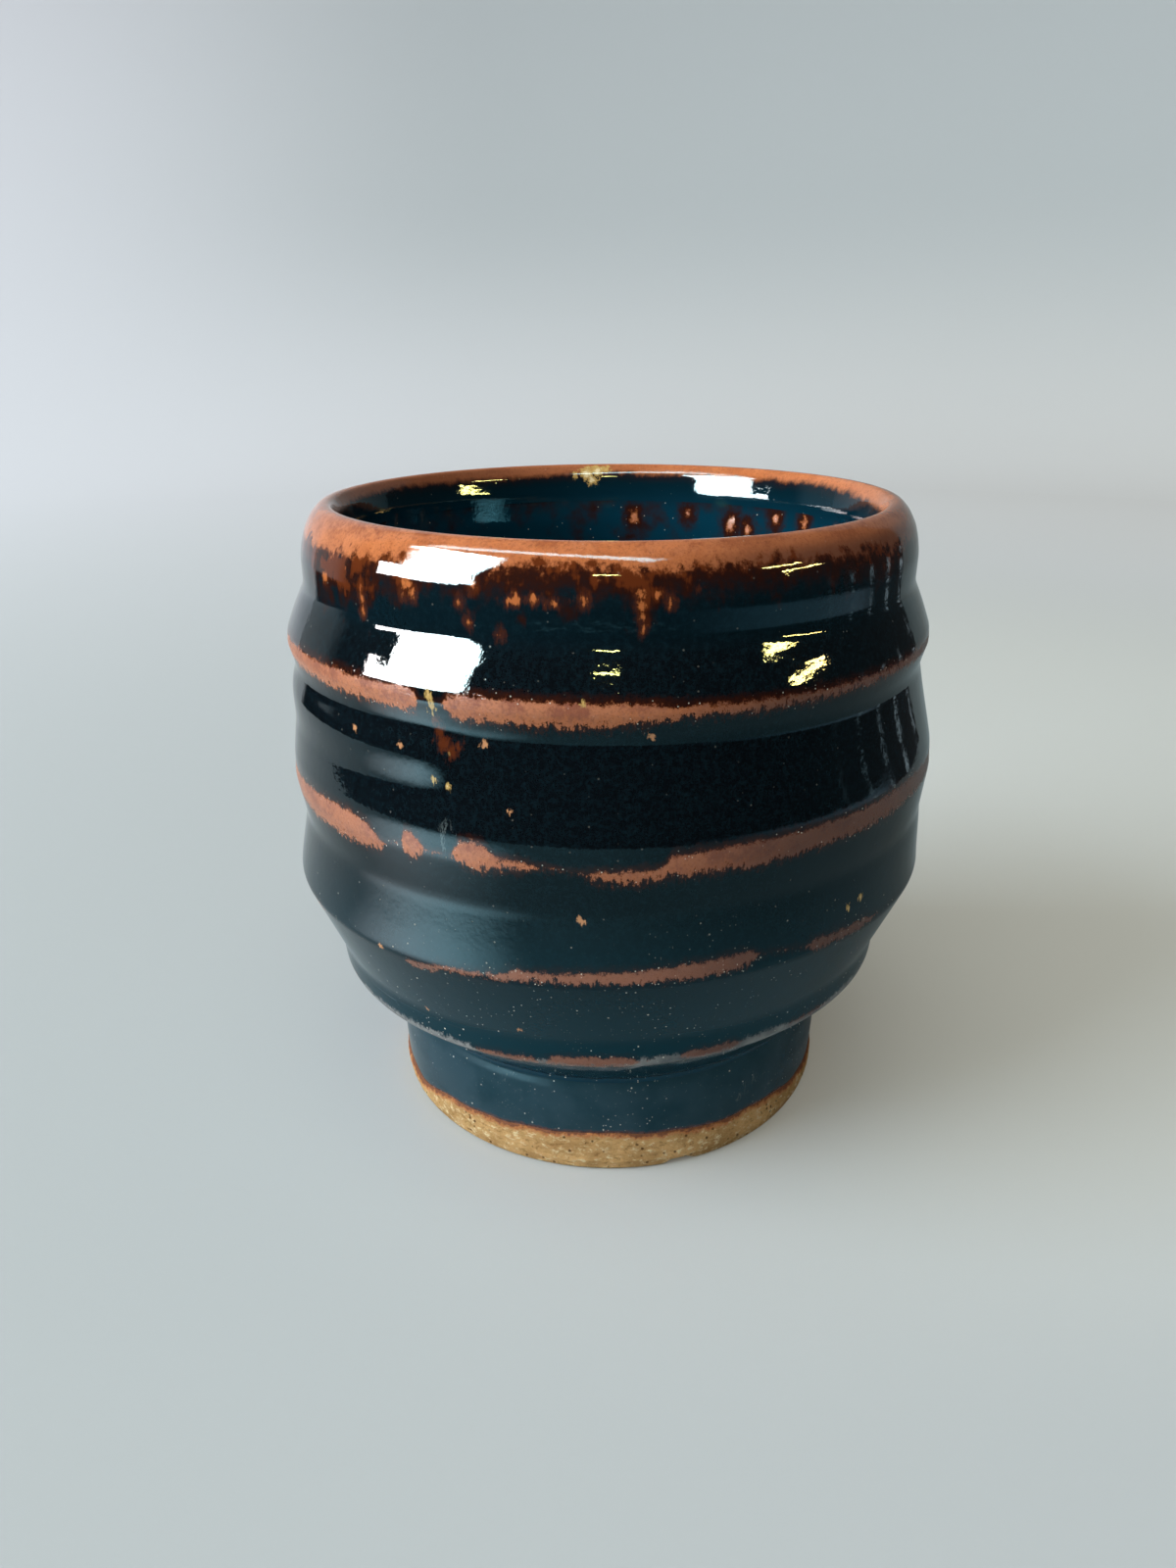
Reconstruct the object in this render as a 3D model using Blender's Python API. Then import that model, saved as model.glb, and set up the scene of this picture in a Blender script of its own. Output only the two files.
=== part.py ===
"""Yunomi teacup: a ring-thrown stoneware bowl on a luted foot ring, with an outer and an inner glaze coat.

Metres, +Z up. The origin is the centre of the foot's base. The clay is drawn as one outline, from the foot
up the outside, over the lip and down the inside, and both coats of glaze run parallel to it.
"""

import math
from collections import namedtuple

import bmesh
import bpy

Corner = namedtuple("Corner", "r z round")
Ridge = namedtuple("Ridge", "rise crest hollow_rise hollow")

# Foot ring
FOOT_RADIUS = 0.0329
FOOT_HEIGHT = 0.0148
FOOT_WALL = 0.0072
FOOT_TAPER = 0.0008
SHOULDER_DROP = 0.0020
NECK_DEPTH = 0.0022
EDGE_ROUND = 0.0008
SHOULDER_ROUND = 0.0024
NECK_ROUND = 0.0016

# Thrown ridges from the neck up: how far each crest rises above the hollow below it, and its radius, then
# how far the next hollow rises above that crest, and its radius
LOW_RIDGE_RISE = 0.0089
LOW_RIDGE_RADIUS = 0.0399
LOW_HOLLOW_RISE = 0.0036
LOW_HOLLOW_RADIUS = 0.0403
BELLY_RIDGE_RISE = 0.0110
BELLY_RIDGE_RADIUS = 0.0451
BELLY_HOLLOW_RISE = 0.0083
BELLY_HOLLOW_RADIUS = 0.0438
MIDDLE_RIDGE_RISE = 0.0064
MIDDLE_RIDGE_RADIUS = 0.0448
MIDDLE_HOLLOW_RISE = 0.0138
MIDDLE_HOLLOW_RADIUS = 0.0423
TOP_RIDGE_RISE = 0.0040
TOP_RIDGE_RADIUS = 0.0433
WAIST_RISE = 0.0066
WAIST_RADIUS = 0.0406
RIDGES = (
    Ridge(LOW_RIDGE_RISE, LOW_RIDGE_RADIUS, LOW_HOLLOW_RISE, LOW_HOLLOW_RADIUS),
    Ridge(BELLY_RIDGE_RISE, BELLY_RIDGE_RADIUS, BELLY_HOLLOW_RISE, BELLY_HOLLOW_RADIUS),
    Ridge(MIDDLE_RIDGE_RISE, MIDDLE_RIDGE_RADIUS, MIDDLE_HOLLOW_RISE, MIDDLE_HOLLOW_RADIUS),
    Ridge(TOP_RIDGE_RISE, TOP_RIDGE_RADIUS, WAIST_RISE, WAIST_RADIUS),
)
CREST_ROUND = 0.0010
HOLLOW_ROUND = 0.0060
RING_LEAN = 0.0008

# Collar and lip
COLLAR_RISE = 0.0046
COLLAR_RADIUS = 0.0407
COLLAR_ROUND = 0.0070
LIP_RISE = 0.0050
LIP_INSET = 0.0009
LIP_WALL = 0.0034
LIP_OUTER_ROUND = 0.0020
LIP_INNER_ROUND = 0.0013

# Inside of the bowl
WALL = 0.0041
FLOOR_THICKNESS = 0.0056
FLOOR_TUCK = 0.0016
FLOOR_ROUND = 0.0140

# Glaze, and the gap that keeps neighbouring solids apart
GLAZE = 0.0005
GAP = 0.0003
GLAZE_LINE = 0.0052
LIP_WRAP = 0.0046

# Faceting: segments round the axis, the turn of one facet of a round, and the most of a straight that a
# round may take up
SEGMENTS = 40
ARC_STEP = math.radians(24)
ROUND_SHARE = 0.48
SMOOTH_ANGLE = math.radians(40)
MERGE_DISTANCE = 1e-6


def at_height(a, b, z):
    """The point of the straight line through two corners at a height."""
    share = (z - a.z) / (b.z - a.z)
    return Corner(a.r + share * (b.r - a.r), z, 0.0)


def ridge_corners(neck):
    """Crests and hollows from the neck up to the waist under the collar."""
    crests, hollows = [], []
    z = neck.z
    for ridge in RIDGES:
        z += ridge.rise
        crests.append(Corner(ridge.crest, z, CREST_ROUND))
        z += ridge.hollow_rise
        hollows.append(Corner(ridge.hollow, z, HOLLOW_ROUND))
    return crests, hollows


def heading(a, b):
    length = math.hypot(b.r - a.r, b.z - a.z)
    return (b.r - a.r) / length, (b.z - a.z) / length


def turn_between(before, after):
    """Signed turn at a corner: positive where the path bends left, round the clay."""
    cross = before[0] * after[1] - before[1] * after[0]
    return math.atan2(cross, before[0] * after[0] + before[1] * after[1])


def parallel(corners, distance):
    """The path moved sideways to its right by a distance, with mitred corners and concentric rounds."""
    headings = [heading(a, b) for a, b in zip(corners, corners[1:])]
    moved = []
    for i, corner in enumerate(corners):
        before = headings[max(i - 1, 0)]
        after = headings[min(i, len(headings) - 1)]
        half = turn_between(before, after) / 2
        mitre = distance / (2 * math.cos(half) ** 2)
        r = corner.r + mitre * (before[1] + after[1])
        z = corner.z - mitre * (before[0] + after[0])
        grown = corner.round + math.copysign(distance, half)
        moved.append(Corner(r, z, max(grown, 0.0) if corner.round else 0.0))
    return moved


def rounded(corners):
    """The path's points, with an arc in place of each corner that has a round."""
    points = [(corners[0].r, corners[0].z)]
    for last, corner, following in zip(corners, corners[1:], corners[2:]):
        before, after = heading(last, corner), heading(corner, following)
        turn = turn_between(before, after)
        straight = min(math.dist(last[:2], corner[:2]), math.dist(corner[:2], following[:2]))
        reach = min(corner.round * math.tan(abs(turn) / 2), ROUND_SHARE * straight)
        if reach == 0:
            points.append((corner.r, corner.z))
            continue
        radius = math.copysign(reach / math.tan(abs(turn) / 2), turn)
        start = (corner.r - reach * before[0], corner.z - reach * before[1])
        centre = (start[0] - radius * before[1], start[1] + radius * before[0])
        steps = math.ceil(abs(turn) / ARC_STEP)
        for k in range(steps + 1):
            angle = turn * k / steps
            spoke = (start[0] - centre[0], start[1] - centre[1])
            points.append((
                centre[0] + spoke[0] * math.cos(angle) - spoke[1] * math.sin(angle),
                centre[1] + spoke[0] * math.sin(angle) + spoke[1] * math.cos(angle),
            ))
    return points + [(corners[-1].r, corners[-1].z)]


def lean_of(co, top):
    """Lift of a hand-thrown ring: higher towards +X at mid height, level at the foot and at the lip."""
    share = min(max((co.z - FOOT_HEIGHT) / (top - FOOT_HEIGHT), 0.0), 1.0)
    return RING_LEAN * math.sin(math.pi * share) ** 2 * co.x / COLLAR_RADIUS


def turned(name, outline, top, material, parent):
    """A closed outline of (radius, height) points, turned about the Z axis into a solid of its own."""
    bm = bmesh.new()
    ring = [bm.verts.new((r, 0.0, z)) for r, z in outline]
    edges = [bm.edges.new(pair) for pair in zip(ring, ring[1:] + ring[:1])]
    bmesh.ops.spin(
        bm,
        geom=ring + edges,
        cent=(0, 0, 0),
        axis=(0, 0, 1),
        angle=math.tau,
        steps=SEGMENTS,
        use_merge=True,
    )
    bmesh.ops.remove_doubles(bm, verts=bm.verts, dist=MERGE_DISTANCE)
    on_axis = [edge for edge in bm.edges if not edge.link_faces]
    bmesh.ops.delete(bm, geom=on_axis, context="EDGES")
    for vert in bm.verts:
        vert.co.z += lean_of(vert.co, top)
    bmesh.ops.recalc_face_normals(bm, faces=bm.faces)
    mesh = bpy.data.meshes.new(name)
    bm.to_mesh(mesh)
    bm.free()
    mesh.shade_smooth()
    mesh.set_sharp_from_angle(angle=SMOOTH_ANGLE)
    mesh.materials.append(material)
    piece = bpy.data.objects.new(name, mesh)
    bpy.context.scene.collection.objects.link(piece)
    piece.parent = parent
    return piece


def finish(name, colour, roughness, coat=0.0):
    material = bpy.data.materials.new(name)
    material.use_nodes = True
    shader = material.node_tree.nodes["Principled BSDF"]
    shader.inputs["Base Color"].default_value = (*colour, 1.0)
    shader.inputs["Roughness"].default_value = roughness
    shader.inputs["Metallic"].default_value = 0.0
    shader.inputs["Coat Weight"].default_value = coat
    return material


def coat_outline(corners):
    """A coat of glaze along a stretch of the clay's outline, held off it by the gap."""
    return rounded(parallel(corners, GAP)) + rounded(parallel(corners, GAP + GLAZE))[::-1]


def main():
    for old in list(bpy.data.objects):
        bpy.data.objects.remove(old, do_unlink=True)

    # Outside of the clay, from the base up to the lip
    base = Corner(FOOT_RADIUS, 0.0, EDGE_ROUND)
    shoulder = Corner(FOOT_RADIUS - FOOT_TAPER, FOOT_HEIGHT - SHOULDER_DROP, SHOULDER_ROUND)
    neck = Corner(FOOT_RADIUS - NECK_DEPTH, FOOT_HEIGHT + GAP / 2, NECK_ROUND)
    crests, hollows = ridge_corners(neck)
    wall_outside = [corner for pair in zip(crests, hollows) for corner in pair]
    waist = hollows[-1]
    collar = Corner(COLLAR_RADIUS, waist.z + COLLAR_RISE, COLLAR_ROUND)
    lip_outer = Corner(COLLAR_RADIUS - LIP_INSET, collar.z + LIP_RISE, LIP_OUTER_ROUND)
    lip_inner = Corner(lip_outer.r - LIP_WALL, lip_outer.z, LIP_INNER_ROUND)
    rim = [collar, lip_outer, lip_inner]

    # Inside of the clay, thinnest behind the hollows, from the waist down to the middle of the floor
    joint_z = FOOT_HEIGHT + GAP
    floor_z = joint_z + FLOOR_THICKNESS
    wall_inside = []
    for below, hollow, above in zip(crests, hollows, crests[1:] + [collar]):
        thinnest = min(below.r, hollow.r, above.r)
        wall_inside.insert(0, Corner(thinnest - WALL, hollow.z, HOLLOW_ROUND))
    lowest = wall_inside.pop()
    floor_corner = Corner(lowest.r - FLOOR_TUCK, floor_z, FLOOR_ROUND)
    inside = [*wall_inside, floor_corner, Corner(0.0, floor_z, 0.0)]

    # Where the coats end: on the foot, and inside the lip
    glaze_start = at_height(base, shoulder, GLAZE_LINE)
    wrap_end = at_height(lip_inner, wall_inside[0], lip_inner.z - LIP_WRAP)
    liner_start = at_height(lip_inner, wall_inside[0], wrap_end.z - GAP)

    cup = bpy.data.objects.new("yunomi", None)
    bpy.context.scene.collection.objects.link(cup)
    stoneware = finish("stoneware", (0.44, 0.28, 0.10), 0.85)
    foot_clay = finish("foot_clay", (0.46, 0.29, 0.10), 0.90)
    tenmoku = finish("tenmoku", (0.010, 0.011, 0.012), 0.10, coat=0.5)
    tenmoku_liner = finish("tenmoku_liner", (0.008, 0.009, 0.010), 0.08, coat=0.5)
    top = lip_outer.z

    joint_edge = at_height(neck, crests[0], joint_z)
    body_path = [joint_edge, *wall_outside, *rim, *inside]
    turned("clay_body", [(0.0, joint_z), *rounded(body_path)], top, stoneware, cup)

    ring_edge = at_height(shoulder, neck, FOOT_HEIGHT)
    recess = base.r - FOOT_WALL
    ring_path = [
        Corner(recess, FOOT_HEIGHT, 0.0),
        Corner(recess, 0.0, EDGE_ROUND),
        base,
        shoulder,
        ring_edge,
    ]
    turned("foot_ring", rounded(ring_path), top, foot_clay, cup)

    outer_path = [glaze_start, shoulder, neck, *wall_outside, *rim, wrap_end]
    turned("outer_glaze", coat_outline(outer_path), top, tenmoku, cup)
    turned("liner_glaze", coat_outline([liner_start, *inside]), top, tenmoku_liner, cup)


main()
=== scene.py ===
import math

import bpy
import numpy as np
from mathutils import Matrix, Vector


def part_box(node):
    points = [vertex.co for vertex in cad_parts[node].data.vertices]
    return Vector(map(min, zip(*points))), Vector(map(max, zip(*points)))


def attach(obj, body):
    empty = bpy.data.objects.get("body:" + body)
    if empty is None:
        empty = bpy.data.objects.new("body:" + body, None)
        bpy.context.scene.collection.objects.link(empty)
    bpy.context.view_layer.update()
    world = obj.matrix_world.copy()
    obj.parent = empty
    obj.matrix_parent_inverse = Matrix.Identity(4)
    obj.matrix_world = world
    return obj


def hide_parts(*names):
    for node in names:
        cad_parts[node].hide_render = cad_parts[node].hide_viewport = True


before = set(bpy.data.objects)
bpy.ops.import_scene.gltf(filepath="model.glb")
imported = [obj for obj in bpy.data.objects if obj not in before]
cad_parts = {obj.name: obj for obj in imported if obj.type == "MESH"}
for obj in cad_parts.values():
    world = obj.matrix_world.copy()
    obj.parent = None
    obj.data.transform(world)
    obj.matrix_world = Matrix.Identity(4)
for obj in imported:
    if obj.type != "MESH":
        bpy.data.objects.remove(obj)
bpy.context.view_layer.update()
scene = bpy.context.scene

# The cup and all finishes are measured in millimetres, and the studio and its lights in metres. Angles are
# in degrees, round the cup from the side that faces the viewer and growing to the viewer's right
MM = 0.001

# Heights that the solids give
FOOT_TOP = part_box("foot_ring")[1].z / MM
LIP_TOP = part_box("outer_glaze")[1].z / MM
COAT_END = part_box("liner_glaze")[1].z / MM


# Camera

CAMERA_PLACE = Vector((0.0, -150.8, 107.0)) * MM
CAMERA_DOWN = 22.40
CAMERA_LEFT = 1.17
CAMERA_ROLL = -0.43
CAMERA_LENS = 24.64
CAMERA_SENSOR = 36.0
CAMERA_NEAR = 0.005


def set_camera():
    data = bpy.data.cameras.new("camera")
    data.sensor_width = CAMERA_SENSOR
    data.lens = CAMERA_LENS
    data.clip_start = CAMERA_NEAR
    camera = bpy.data.objects.new("camera", data)
    aim = Matrix.Rotation(math.radians(CAMERA_LEFT), 4, "Z")
    tilt = Matrix.Rotation(math.radians(90 - CAMERA_DOWN), 4, "X")
    roll = Matrix.Rotation(math.radians(CAMERA_ROLL), 4, "Z")
    camera.matrix_world = Matrix.Translation(CAMERA_PLACE) @ aim @ tilt @ roll
    scene.collection.objects.link(camera)
    scene.camera = camera


set_camera()


# Curves and tables

def eased(x, stations):
    """Value at x of a table of (place, value), running level through every station."""
    places, values = np.array(stations, float).T
    k = np.clip(np.searchsorted(places, x) - 1, 0, len(places) - 2)
    t = np.clip((x - places[k]) / (places[k + 1] - places[k]), 0, 1)
    return values[k] + (values[k + 1] - values[k]) * t * t * (3 - 2 * t)


def ramp(x, start, end):
    """0 before start, 1 past end, and smooth between them."""
    t = np.clip((x - start) / (end - start), 0, 1)
    return t * t * (3 - 2 * t)


def round_the_cup(angle, stations, column):
    """Value at an angle of a table whose rows start with an angle, the last row joining the first."""
    table = np.array(stations, float)
    return np.interp(angle, table[:, 0], table[:, column], period=360)


CORNER_SHARE = 0.48
ARC_STEP = math.radians(6)


def rounded(corners):
    """Points of an outline of (radius, height, rounding) corners, with an arc in place of each corner."""
    spots = [np.array(c[:2], float) for c in corners]
    points = [spots[0]]
    for before, here, after, corner in zip(spots, spots[1:], spots[2:], corners[1:]):
        come, go = here - before, after - here
        come_length, go_length = np.hypot(*come), np.hypot(*go)
        come, go = come / come_length, go / go_length
        turn = math.atan2(come[0] * go[1] - come[1] * go[0], come @ go)
        reach = min(corner[2] * math.tan(abs(turn) / 2), CORNER_SHARE * min(come_length, go_length))
        radius = reach / math.tan(abs(turn) / 2)
        left = np.array((-come[1], come[0])) * math.copysign(1, turn)
        start = here - come * reach
        for part in np.linspace(0, abs(turn), max(3, math.ceil(abs(turn) / ARC_STEP))):
            points.append(start + come * radius * math.sin(part) + left * radius * (1 - math.cos(part)))
    points.append(spots[-1])
    return np.array(points)


def spaced(points, gap):
    """The same path with its points about the given gap apart."""
    lengths = np.hypot(*np.diff(points, axis=0).T)
    along = np.concatenate(([0], np.cumsum(lengths)))
    places = np.linspace(0, along[-1], max(2, round(along[-1] / gap)) + 1)
    return np.stack([np.interp(places, along, points[:, k]) for k in (0, 1)], axis=1)


def outward(path):
    """Directions square to a path, on its right hand, which is away from the wall on every path here."""
    ahead = np.gradient(path, axis=0)
    ahead /= np.hypot(*ahead.T)[:, None]
    return np.stack((ahead[:, 1], -ahead[:, 0]), axis=1)


# Shape of the cup: radius, height and rounding of the fired surface

NECK_HEIGHT = FOOT_TOP + 0.1
FOOT_WALL = ((32.72, 5.0, 0), (33.0, 9.2, 9.0), (32.8, 12.6, 6.0))
WALL = (
    (32.1, NECK_HEIGHT, 0.8),
    (40.75, 23.6, 1.5),
    (41.1, 27.3, 5.0),
    (45.75, 38.35, 1.7),
    (44.7, 46.9, 6.0),
    (45.5, 52.9, 4.0),
    (45.3, 56.0, 9.0),
    (43.15, 67.4, 4.0),
    (44.1, 70.7, 1.2),
    (43.95, 72.1, 0.6),
    (42.85, 74.9, 40.0),
    (41.45, 77.8, 3.5),
    (41.5, 81.6, 7.0),
    (41.2, 83.4, 5.0),
    (40.75, 85.0, 4.0),
    (39.85, 86.7, 3.0),
)
LIP = ((38.6, LIP_TOP, 1.5), (37.3, LIP_TOP, 1.0))
INSIDE = (
    (36.25, 86.5, 1.6),
    (35.6, 83.7, 6.0),
    (35.2, 79.0, 9.0),
    (35.3, 75.5, 9.0),
    (37.35, 66.0, 12.0),
    (38.8, 50.0, 14.0),
    (37.2, 40.0, 12.0),
    (34.6, 30.0, 10.0),
    (29.0, 21.5, 10.0),
    (0.0, 21.5, 0),
)

# What the potter's hands left uneven: height, then its lean and its sideways drift, seen at the right side
LEAN = ((0, 0), (15, 0), (23.6, 0.55), (38, 0.62), (54, 0.62), (66, 0.15), (71, 0.0), (88, 0.0))
DRIFT = (
    (0, 0), (15, 0), (24, -0.22), (38, -0.1), (47, 0.45), (53.5, 0.3), (67, -0.12), (71, -0.25),
    (80, -0.12), (88, 0),
)

# A swell across the left of the wall: height and depth, then the shares of the radius, to the left and to
# the front, between which it grows
SWELL = ((59.8, 0), (65.0, 0.62), (70.5, 0))
SWELL_SIDE = (0.30, 0.50)
SWELL_BACK = (-0.5, 0.2)

# Waves round the wall and the lip: size, waves in a turn, start, and shift with height
LIFT_WAVES = ((0.10, 2, 0.0, 1 / 17), (0.07, 3, 2.0, -1 / 11))
DRIFT_WAVES = ((0.08, 2, 1.3, 1 / 21), (0.05, 5, 0.0, 1 / 13))
DIP_WAVES = ((0.05, 2, 0.7, 0), (0.04, 3, 0.0, 0))
OVAL_WAVES = ((0.10, 2, 0.4, 0), (0.05, 4, 2.0, 0))
WAVE_FADE = 12.0
LIP_DIP = 0.09
DIP_REACH = 9.0
OVAL_REACH = 14.0

COLUMNS = 560
theta = np.linspace(-math.pi, math.pi, COLUMNS, endpoint=False)
degrees = np.degrees(theta)


def waves(table, turn, height=0.0):
    """Sum of the waves of a table at a turn and a height."""
    return sum(size * np.sin(count * turn + start + height * gain) for size, count, start, gain in table)


def thrown(radius, height, turn=theta):
    """Where the potter's hands left a point of the even outline."""
    side = np.sin(turn)
    free = ramp(height, FOOT_TOP, FOOT_TOP + WAVE_FADE) * (1 - ramp(height, LIP_TOP - WAVE_FADE, LIP_TOP))
    lift = eased(height, LEAN) * side + free * waves(LIFT_WAVES, turn, height)
    drift = eased(height, DRIFT) * side + free * waves(DRIFT_WAVES, turn, height)
    swell = eased(height, SWELL) * ramp(-side, *SWELL_SIDE) * ramp(np.cos(turn), *SWELL_BACK)
    dip = ramp(height, LIP_TOP - DIP_REACH, LIP_TOP) * (LIP_DIP + waves(DIP_WAVES, turn))
    oval = ramp(height, LIP_TOP - OVAL_REACH, LIP_TOP) * waves(OVAL_WAVES, turn)
    return radius + drift + swell + oval, height + lift - dip


ON_AXIS = 1.0
SHARP_ANGLE = math.radians(55)


def turned(name, radius, height, turn=theta):
    """A closed mesh of rows of radii and heights. Rows that end on the axis are closed with fans."""
    rows, columns = radius.shape
    points = np.stack((radius * np.sin(turn), -radius * np.cos(turn), height), axis=-1).reshape(-1, 3)
    here = np.arange(rows * columns).reshape(rows, columns)
    beside = np.roll(here, -1, axis=1)
    on_axis = radius[0].max() < ON_AXIS
    rings = rows - 1 if on_axis else rows
    above = np.roll(here, -1, axis=0)
    above_beside = np.roll(beside, -1, axis=0)
    faces = np.stack((here, beside, above_beside, above), axis=-1)[:rings].reshape(-1, 4).tolist()
    if on_axis:
        low, high = len(points), len(points) + 1
        points = np.vstack((points, (0, 0, height[0].mean()), (0, 0, height[-1].mean())))
        faces += [(low, int(b), int(a)) for a, b in zip(here[0], beside[0])]
        faces += [(int(a), int(b), high) for a, b in zip(here[-1], beside[-1])]
    mesh = bpy.data.meshes.new(name)
    mesh.from_pydata((points * MM).tolist(), [], faces)
    mesh.shade_smooth()
    mesh.set_sharp_from_angle(angle=SHARP_ANGLE)
    piece = bpy.data.objects.new(name, mesh)
    scene.collection.objects.link(piece)
    return piece


def spread(rows, columns=COLUMNS):
    """Radii and heights of the points of a path, the same at every angle."""
    return [np.repeat(rows[:, k:k + 1], columns, axis=1) for k in (0, 1)]


def note(piece, name, values):
    """Keeps a number for each point of a piece, for its finish to read."""
    flat = np.zeros(len(piece.data.vertices), np.float32)
    flat[:values.size] = values.ravel()
    piece.data.attributes.new(name, "FLOAT", "POINT").data.foreach_set("value", flat)


# Where the glaze ends on the foot: angle and height, then the ripples of the line
GLAZE_LINE = (
    (-170, 4.6), (-140, 3.4), (-110, 2.6), (-85, 2.2), (-60, 2.7), (-45, 4.4), (-30, 5.1), (-15, 5.9),
    (0, 6.0), (15, 5.6), (30, 5.1), (45, 4.7), (60, 3.6), (85, 3.0), (115, 3.6), (150, 4.8),
)
GLAZE_RIPPLES = ((0.13, 9, 1.1, 0), (0.08, 17, 2.3, 0), (0.05, 31, 0.0, 0))

# Where the glaze breaks to rust on the lip: angle, then lower edge
LIP_RUST = (
    (-180, 84.9), (-150, 84.5), (-120, 85.0), (-90, 84.6), (-62, 84.4), (-48, 84.5), (-36, 85.0),
    (-28, 85.4), (-20, 85.6), (-8, 85.3), (0, 85.5), (10, 85.1), (22, 85.5), (34, 85.1), (46, 84.9),
    (58, 84.6), (90, 84.5), (120, 85.1), (150, 84.7),
)

# The rust on each ridge, from the lip down: angle, lower and upper edge. It is missing where they cross
TOP_RUST = (
    (-180, 70.0, 71.9), (-155, 69.9, 72.1), (-150, 71.2, 70.9), (-146, 69.9, 72.0), (-110, 69.7, 72.2),
    (-75, 69.6, 72.0), (-60, 69.7, 72.1), (-45, 69.6, 72.0), (-30, 69.4, 72.0), (-29, 69.8, 71.8),
    (-27.8, 71.5, 70.4), (-24.4, 71.5, 70.4), (-23.2, 69.6, 71.9), (-22, 69.3, 72.0), (-12, 69.2, 72.0),
    (0, 69.4, 71.9), (6, 69.8, 71.8), (10, 70.3, 71.5), (16, 70.4, 71.4), (30, 70.5, 71.3),
    (45, 70.5, 71.4), (60, 70.3, 71.7), (90, 70.0, 71.9), (118, 70.2, 71.7), (124, 71.3, 70.8),
    (129, 70.2, 71.9), (160, 69.8, 72.1),
)
MIDDLE_RUST = (
    (-180, 52.3, 54.2), (-168, 52.0, 54.0), (-163, 53.6, 52.9), (-158, 53.4, 53.0), (-153, 51.9, 53.9),
    (-120, 51.2, 53.6), (-112, 53.1, 52.4), (-106, 51.6, 53.4), (-75, 50.8, 53.9), (-60, 50.7, 54.3),
    (-50, 50.9, 54.7), (-44, 51.0, 54.9), (-39, 51.2, 54.2), (-36.5, 51.6, 52.6), (-35.4, 53.0, 52.2),
    (-32.2, 53.6, 53.2), (-31.4, 52.0, 55.2), (-29, 52.0, 54.6), (-27.6, 53.4, 53.0), (-23, 53.7, 53.2),
    (-22, 52.6, 55.2), (-19.5, 52.2, 55.5), (-17.5, 52.4, 54.9), (-16, 52.6, 53.8), (-13, 53.0, 53.7),
    (-10, 53.4, 53.2), (-4, 53.3, 52.6), (-2, 52.1, 52.9), (3, 51.7, 53.0), (7.5, 51.9, 53.1),
    (9, 52.2, 54.7), (20, 52.4, 55.2), (40, 53.2, 55.7), (60, 53.6, 56.1), (85, 53.3, 55.6),
    (105, 53.2, 54.8), (110, 54.6, 53.8), (117, 54.3, 53.7), (121, 53.2, 54.7), (150, 52.7, 54.5),
)
BELLY_RUST = (
    (-180, 37.6, 39.3), (-172, 37.9, 39.0), (-168, 39.0, 38.0), (-150, 38.7, 37.8), (-146, 37.2, 38.6),
    (-118, 36.7, 38.3), (-112, 38.2, 37.0), (-80, 37.8, 36.8), (-74, 36.6, 37.8), (-58, 36.5, 37.7),
    (-52, 37.8, 36.8), (-34, 37.9, 36.9), (-32, 36.7, 37.8), (-28, 36.8, 37.9), (-26.5, 37.9, 38.5),
    (-20, 38.1, 38.8), (-16, 38.2, 39.1), (-14, 38.6, 39.8), (-11, 38.7, 39.7), (-8, 38.8, 39.9),
    (4, 38.7, 40.3), (14, 39.0, 40.8), (21, 39.4, 41.1), (23.5, 40.6, 40.3), (31, 40.3, 39.8),
    (33, 38.9, 40.2), (44, 38.8, 40.1), (50, 39.9, 39.2), (76, 40.2, 39.4), (82, 38.7, 40.2),
    (120, 38.4, 40.0), (126, 39.7, 38.8), (152, 39.4, 38.5), (158, 37.9, 39.4),
)
LOW_RUST = (
    (-180, 24.6, 23.6), (-160, 24.4, 23.7), (-154, 22.9, 24.0), (-132, 22.8, 23.9), (-126, 24.0, 23.1),
    (-92, 23.8, 22.9), (-86, 22.6, 23.5), (-62, 22.7, 23.5), (-56, 23.7, 22.9), (-26, 23.9, 23.2),
    (-23, 22.8, 23.9), (-14, 23.0, 24.2), (-12, 23.8, 23.8), (-9, 23.3, 24.9), (-2, 23.3, 25.1),
    (4, 23.5, 24.9), (6, 24.6, 24.1), (12, 24.7, 24.2), (14, 23.7, 25.1), (23, 23.8, 25.2),
    (26, 25.0, 24.4), (34, 25.0, 24.4), (36, 24.2, 24.9), (45, 24.3, 24.9), (49, 25.1, 24.3),
    (96, 25.0, 24.2), (102, 23.8, 24.9), (126, 23.7, 24.7), (132, 24.8, 23.9),
)
RIDGE_RUSTS = (TOP_RUST, MIDDLE_RUST, BELLY_RUST, LOW_RUST)
RUST_REACH = 3.0

# How low the streaks below the lip reach: angle and height
LIP_FUR = (
    (-180, 80.5), (-140, 81.5), (-100, 80.0), (-62, 79.0), (-55, 77.8), (-42, 78.2), (-36, 80.2),
    (-30, 80.8), (-24, 82.0), (-16, 81.4), (-5, 81.2), (0, 82.2), (5, 79.5), (9, 81.4), (16, 82.6),
    (30, 82.4), (46, 81.8), (60, 81.2), (100, 80.0), (140, 81.5),
)
NO_FUR = -9.0

# How much higher the rust of the lip ends inside, and how far past the crest of the lip the inside begins
INNER_LIFT = 1.5
INNER_START = (-0.8, 1.2)


def glaze_line(angle):
    """Height at which the coat ends on the foot."""
    table = [(a + lap, h) for lap in (-360, 0, 360) for a, h in GLAZE_LINE]
    return eased(angle, table) + waves(GLAZE_RIPPLES, np.radians(angle))


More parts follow.
